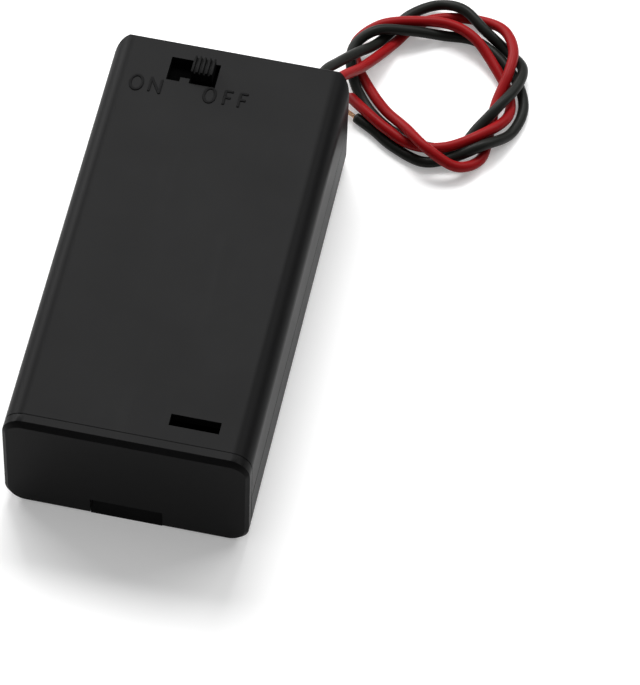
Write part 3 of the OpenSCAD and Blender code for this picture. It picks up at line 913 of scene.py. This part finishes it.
@dataclass
class Switch:
    """The slide switch: the ridged slider, its wiper, and the contacts on their base."""

    shop: Workshop
    rounding: float = 0.05 * MM

    def build(self) -> None:
        """Rounds the slider and dresses the metal and the base."""
        slider = softened_copy(self.shop.nodes["switch_slider"], "ridged_slider", self.rounding)
        self.shop.seat(slider, Body.SLIDER, Slot.SLIDER, ("switch_slider",))
        for node in ("switch_wiper", "switch_contact_in", "switch_contact_out"):
            self.shop.dress(node, Slot.BRONZE)
        self.shop.dress("switch_base", Slot.BOARD)


@dataclass
class Spring:
    """One conical spring, wound round +Y or -Y from its foot on a contact plate."""

    name: str
    node: str
    plate: str
    facing: float
    wire: float = 0.8 * MM
    foot: float = 9.0 * MM
    tip: float = 5.4 * MM
    turns: float = 4.5
    turn_points: int = 48
    sides: int = 14
    end_taper: float = 0.8

    def build(self, shop: Workshop) -> None:
        """Winds the spring where its solid stands.

        The radius falls evenly from foot to tip, and the rise follows a smooth step, so that
        the end turns lie flat.

        Args:
            shop: gives the finish.
        """
        low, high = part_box(self.node)
        plate_low, plate_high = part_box(self.plate)
        share = np.linspace(0, 1, int(self.turns * self.turn_points) + 1)
        angle = 2 * math.pi * self.turns * share
        radius = (self.foot + (self.tip - self.foot) * share - self.wire) / 2
        rise = self.wire / 2 + (high.y - low.y - self.wire) * share**2 * (3 - 2 * share)
        path = np.stack(
            [
                (plate_low.x + plate_high.x) / 2 + self.facing * radius * np.cos(angle),
                (low.y if self.facing > 0 else high.y) + self.facing * rise,
                (plate_low.z + plate_high.z) / 2 + radius * np.sin(angle),
            ],
            axis=1,
        )
        radii = np.full(len(path), self.wire / 2)
        radii[[0, -1]] *= self.end_taper
        coil = make_mesh(self.name, *tube_arrays(path, radii, self.sides))
        shop.seat(coil, Body.CASE, Slot.SPRING, (self.node,))


@dataclass
class Contacts:
    """The plated sheet contacts, the springs, the joints and the short wire inside."""

    shop: Workshop

    def build(self) -> None:
        """Dresses the plates and joints, and winds the springs."""
        for node in ("front_jumper", "positive_plate", "negative_plate"):
            self.shop.dress(node, Slot.PLATE)
        for node in ("solder_positive", "solder_switch_in", "solder_switch_out", "solder_negative"):
            self.shop.dress(node, Slot.SOLDER)
        self.shop.dress("link_wire", Slot.RED)
        Spring("coil_front", "front_spring", "positive_plate", facing=1.0).build(self.shop)
        Spring("coil_rear", "rear_spring", "negative_plate", facing=-1.0).build(self.shop)


# Points that the leads' middle lines pass, from the joint inside to the cut end
RED_ROUTE_MM = [
    [-3.85, 26.68, 11.3], [-3.5, 28.25, 11.5], [-1, 29, 11.9], [3, 26.75, 12.2],
    [10.5, 25.75, 12.2], [13, 28.5, 11.3], [13.45, 32.5, 10.2], [13.45, 37.5, 10.2],
    [14.5, 42, 8.5], [16.5, 47, 5], [18.55, 51.95, 2.6], [20.35, 56.2, 1.1], [22.5, 60, 0.9],
    [26.25, 62.4, 0.85], [31.1, 63.1, 0.95], [35.65, 61.15, 2.35], [38, 57.05, 3.1],
    [38.1, 52.5, 3.05], [37.2, 47.55, 1.6], [37.15, 42.8, 0.85], [36.8, 37.35, 1],
    [33.6, 34.4, 2.15], [29, 35.25, 4.15], [25.25, 38.55, 3.65], [21.3, 42.8, 1.55],
    [17.85, 47.1, 0.9], [15.3, 51.05, 0.85], [14.5, 54.75, 1.25], [17.75, 57.8, 2.6],
    [23, 59.55, 2.7], [27.75, 60, 2.7], [31.75, 58.45, 2.5], [35.45, 54.95, 1.4],
    [38.65, 50.35, 0.85], [39.35, 45.2, 1.95], [36.3, 40.55, 2.9], [31.45, 37.35, 2.45],
    [26.6, 36.85, 2.2], [22.25, 38.75, 2.4], [18.5, 41.5, 2.2], [15.7, 44.2, 1.35],
]

BLACK_ROUTE_MM = [
    [11.15, 26.3, 5.9], [11, 26.75, 8], [11.25, 29, 9.6], [11.75, 32.5, 10.2], [11.75, 37.5, 10.2],
    [12, 42, 9.2], [13.5, 46, 7], [15.5, 50, 4.8], [17.5, 53.95, 2.35], [19.2, 58, 0.95],
    [21.25, 61.75, 0.95], [25, 64.3, 1.3], [29.2, 63.25, 2.75], [33.15, 60.35, 2.25],
    [37, 58.25, 0.85], [39.85, 54.8, 2.05], [39.8, 50.55, 3], [37.9, 46.05, 3.3],
    [35.5, 42.35, 2.1], [33.25, 39, 0.9], [28.75, 38, 0.85], [24, 39.25, 0.85], [19.75, 42, 0.85],
    [16.45, 46, 1], [14.65, 49.7, 2.2], [14.65, 53.05, 2.8], [17.4, 55.85, 3.5], [22, 57.45, 2.7],
    [27, 59, 1], [31.75, 59.25, 0.85], [35.75, 56.95, 0.85], [39.5, 52.85, 0.85],
    [41.3, 48.05, 0.85], [40.25, 42.95, 1], [36.85, 38.55, 2.9], [32.5, 36.3, 1.4],
    [28.45, 35.15, 0.85], [23.7, 36.9, 0.85], [20.25, 39.25, 0.85], [17.25, 41, 0.85],
]


@dataclass
class Lead:
    """One insulated lead: its tube, and the bare strands at its stripped end."""

    colour: str
    slot: Slot
    route_mm: list[list[float]]
    diameter: float = 1.6 * MM
    sample: float = 0.45 * MM
    sides: int = 24
    end_taper: float = 0.93
    strands: int = 7
    strand_d: float = 0.21 * MM
    strand_rings: int = 14
    strand_sides: int = 8
    bare: float = 3.0 * MM
    tucked: float = 0.3 * MM
    longest: float = 0.24 * MM
    shorter: float = 0.12 * MM
    fan: float = 0.25

    def build(self, shop: Workshop) -> None:
        """Args:
            shop: gives the finishes.
        """
        path = smooth_path(np.array(self.route_mm) * MM, self.sample)
        radii = np.full(len(path), self.diameter / 2)
        radii[[0, -1]] *= self.end_taper
        tube = make_mesh(f"{self.colour}_lead", *tube_arrays(path, radii, self.sides))
        shop.seat(tube, Body.CASE, self.slot, (f"lead_{self.colour}",))
        heading = unit(path[-1] - path[-3])
        ends = make_mesh(f"{self.colour}_bare_strands", *join_arrays(self.bundle(path[-1], heading)))
        shop.seat(ends, Body.CASE, Slot.COPPER, (f"strands_{self.colour}",))

    def bundle(self, end: np.ndarray, heading: np.ndarray) -> list[Arrays]:
        """The bare strands, lightly twisted and fanned.

        Strand 0 is the core. Strand k runs round it at a radius that grows evenly by the fan,
        at an angle that turns half a turn, and each strand is a little shorter than the last.

        Args:
            end: middle of the insulation's cut face.
            heading: direction that the lead ends in.

        Returns:
            Points and faces of each strand.
        """
        along = unit(heading * (1 - UP))
        side = np.cross(along, UP)
        share = np.linspace(0, 1, self.strand_rings)
        thickness = np.full(len(share), self.strand_d / 2)
        parts = []
        for k in range(self.strands):
            angle = 2 * math.pi * k / (self.strands - 1) + math.pi * share
            spread = (self.strand_d if k else 0.0) * (1 + self.fan * share)
            reach = share * (self.bare + self.longest - self.shorter * k) - self.tucked
            turned = np.outer(spread * np.cos(angle), side) + np.outer(spread * np.sin(angle), UP)
            line = end + np.outer(reach, along) + turned
            parts.append(tube_arrays(line, thickness, self.strand_sides))
        return parts


# ---- The studio ----


@dataclass(frozen=True)
class Lamp:
    """One rectangular soft lamp that faces the origin."""

    name: str
    place: Triple
    size: tuple[float, float]
    watts: float

    def build(self) -> None:
        """Hangs the lamp."""
        data = bpy.data.lights.new(self.name, "AREA")
        data.shape = "RECTANGLE"
        data.size, data.size_y = self.size
        data.energy = self.watts
        made = add_object(self.name, data)
        made.location = self.place
        made.rotation_euler = (-Vector(self.place)).to_track_quat("-Z", "Y").to_euler()


@dataclass
class Studio:
    """The camera, the pale table and the soft lamps."""

    azimuth: float = 9.88
    elevation: float = 55.47
    roll: float = 2.43
    place: Triple = (85.38 * MM, -373.07 * MM, 551.25 * MM)
    lens: float = 243.96
    sensor: float = 36.0
    clip: tuple[float, float] = (0.01, 20.0)
    table_z: float = -0.02 * MM
    table_half: float = 3.0
    table_white: float = 0.86
    table_glow: float = 0.25
    bright_side: Triple = (0.0, 0.45, 0.89)
    dim_from: float = -0.3
    dim: float = 0.04
    bright: float = 0.5
    lamps: tuple[Lamp, ...] = (
        Lamp("left", (-0.7, 0.68, 0.38), (0.7, 0.4), watts=8.0),
        Lamp("behind", (-0.13, 0.62, 0.9), (0.5, 0.36), watts=8.7),
        Lamp("right", (0.58, 0.68, 0.78), (0.7, 0.45), watts=4.5),
    )

    def camera(self) -> None:
        """Sets the camera up at its viewing angle, with a slight roll."""
        a, e, r = (math.radians(x) for x in (self.azimuth, self.elevation, self.roll))
        back = Vector((math.sin(a) * math.cos(e), -math.cos(a) * math.cos(e), math.sin(e)))
        right = Vector((0, 0, 1)).cross(back).normalized()
        up = back.cross(right)
        tilted = math.cos(r) * right + math.sin(r) * up
        upright = math.cos(r) * up - math.sin(r) * right
        data = bpy.data.cameras.new("studio_camera")
        data.lens = self.lens
        data.sensor_width = self.sensor
        data.clip_start, data.clip_end = self.clip
        camera = add_object("studio_camera", data)
        turn = Matrix((tilted, upright, back)).transposed().to_4x4()
        camera.matrix_world = Matrix.Translation(self.place) @ turn
        bpy.context.scene.camera = camera

    def table(self) -> None:
        """Lays a wide white sheet under the holder, a little brighter as the camera sees it."""
        half, z = self.table_half, self.table_z
        corners = np.array([[-half, -half, z], [half, -half, z], [half, half, z], [-half, half, z]])
        sheet = make_mesh("pale_table", corners, np.array([[0, 1, 2, 3]]))
        material = bpy.data.materials.new("pale_table")
        material.use_nodes = True
        board = NodeBoard(material.node_tree)
        paper = board.add("ShaderNodeBsdfDiffuse", {"Color": (*(self.table_white,) * 3, 1.0)})
        glow = board.add("ShaderNodeEmission", {"Color": (1, 1, 1, 1), "Strength": self.table_glow})
        lit = board.add("ShaderNodeAddShader", {0: paper.outputs[0], 1: glow.outputs[0]})
        path = board.add("ShaderNodeLightPath").outputs
        seen = path["Is Camera Ray"]
        for other in ("Is Transmission Ray", "Is Glossy Ray"):
            seen = board.add("ShaderNodeMath", {0: seen, 1: path[other]}, operation="MAXIMUM").outputs[0]
        mixed = board.add("ShaderNodeMixShader", {0: seen, 1: paper.outputs[0], 2: lit.outputs[0]})
        board.add("ShaderNodeOutputMaterial", {"Surface": mixed.outputs[0]})
        sheet.data.materials.append(material)

    def sky(self) -> None:
        """Gives the room a soft light that is dim in front and low down, and fuller behind.

        Its level grows evenly with the cosine of the angle from the bright side.
        """
        world = bpy.data.worlds.new("soft_room")
        bpy.context.scene.world = world
        world.use_nodes = True
        board = NodeBoard(world.node_tree)
        sides = {0: board.add("ShaderNodeTexCoord").outputs["Generated"], 1: self.bright_side}
        cosine = board.add("ShaderNodeVectorMath", sides, operation="DOT_PRODUCT").outputs["Value"]
        ramp = {"From Min": self.dim_from, "To Min": self.dim, "To Max": self.bright}
        level = board.add("ShaderNodeMapRange", {"Value": cosine, **ramp})
        room = board.add("ShaderNodeBackground", {"Color": (1, 1, 1, 1), "Strength": level.outputs[0]})
        board.add("ShaderNodeOutputWorld", {"Surface": room.outputs[0]})

    def build(self) -> None:
        """Sets up the camera, the table and the light."""
        self.camera()
        self.table()
        self.sky()
        for lamp in self.lamps:
            lamp.build()
        bpy.context.scene.view_settings.view_transform = "Standard"


def main() -> None:
    """Builds the studio, then the leads, then the holder from the outside in."""
    logging.basicConfig(level=logging.INFO, format="%(message)s")
    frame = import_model()
    Studio().build()
    shop = Workshop(frame["nodes"])
    Lead("red", Slot.RED, RED_ROUTE_MM).build(shop)
    Lead("black", Slot.BLACK, BLACK_ROUTE_MM).build(shop)
    Shell(shop).build()
    Switch(shop).build()
    Contacts(shop).build()


if __name__ == "__main__":
    main()
